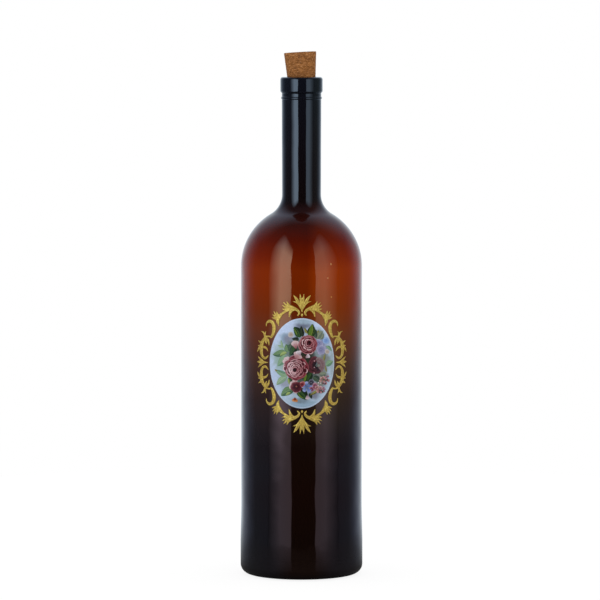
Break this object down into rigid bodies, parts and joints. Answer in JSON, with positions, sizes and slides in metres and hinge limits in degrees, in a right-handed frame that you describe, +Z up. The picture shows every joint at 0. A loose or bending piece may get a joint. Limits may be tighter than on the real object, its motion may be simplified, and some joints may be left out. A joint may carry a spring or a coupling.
{
  "type": "bottle",
  "caption": "Tall round decorative glass bottle with a domed shoulder, long neck, tapered cork and an oval rose medallion in a scroll frame.",
  "frame": {"origin": "centre of the base, in the plane of the ring that the bottle stands on", "axes": "+Z up along the bottle's axis to the mouth, -Y out of the front that carries the medallion, +X to the right seen from the front"},
  "size_m": [0.0856, 0.0856, 0.3661],
  "materials": {
    "bottle_glass": "glossy amber glass with a sprayed dark fade at the neck and foot",
    "cork": "raw agglomerated cork",
    "ground_enamel": "opaque fired enamel",
    "leaf_enamel": "opaque fired enamel",
    "blossom_enamel": "opaque fired enamel",
    "rose_enamel": "opaque fired enamel",
    "gilding": "bright fired gilding"
  },
  "bodies": {
    "bottle": {"glass_bottle": "bottle_glass", "medallion_ground": "ground_enamel", "leaf_print": "leaf_enamel", "blossom_print": "blossom_enamel", "rose_print": "rose_enamel", "gold_crest_top": "gilding", "gold_crest_bottom": "gilding", "gold_chain_left": "gilding", "gold_chain_right": "gilding"},
    "cork": {"cork_stopper": "cork"}
  },
  "joints": [
    {"name": "cork_pull", "type": "slide", "parent": "bottle", "child": "cork", "axis": [-0.0558, 0, 0.9984], "range_m": [0, 0.05]}
  ]
}
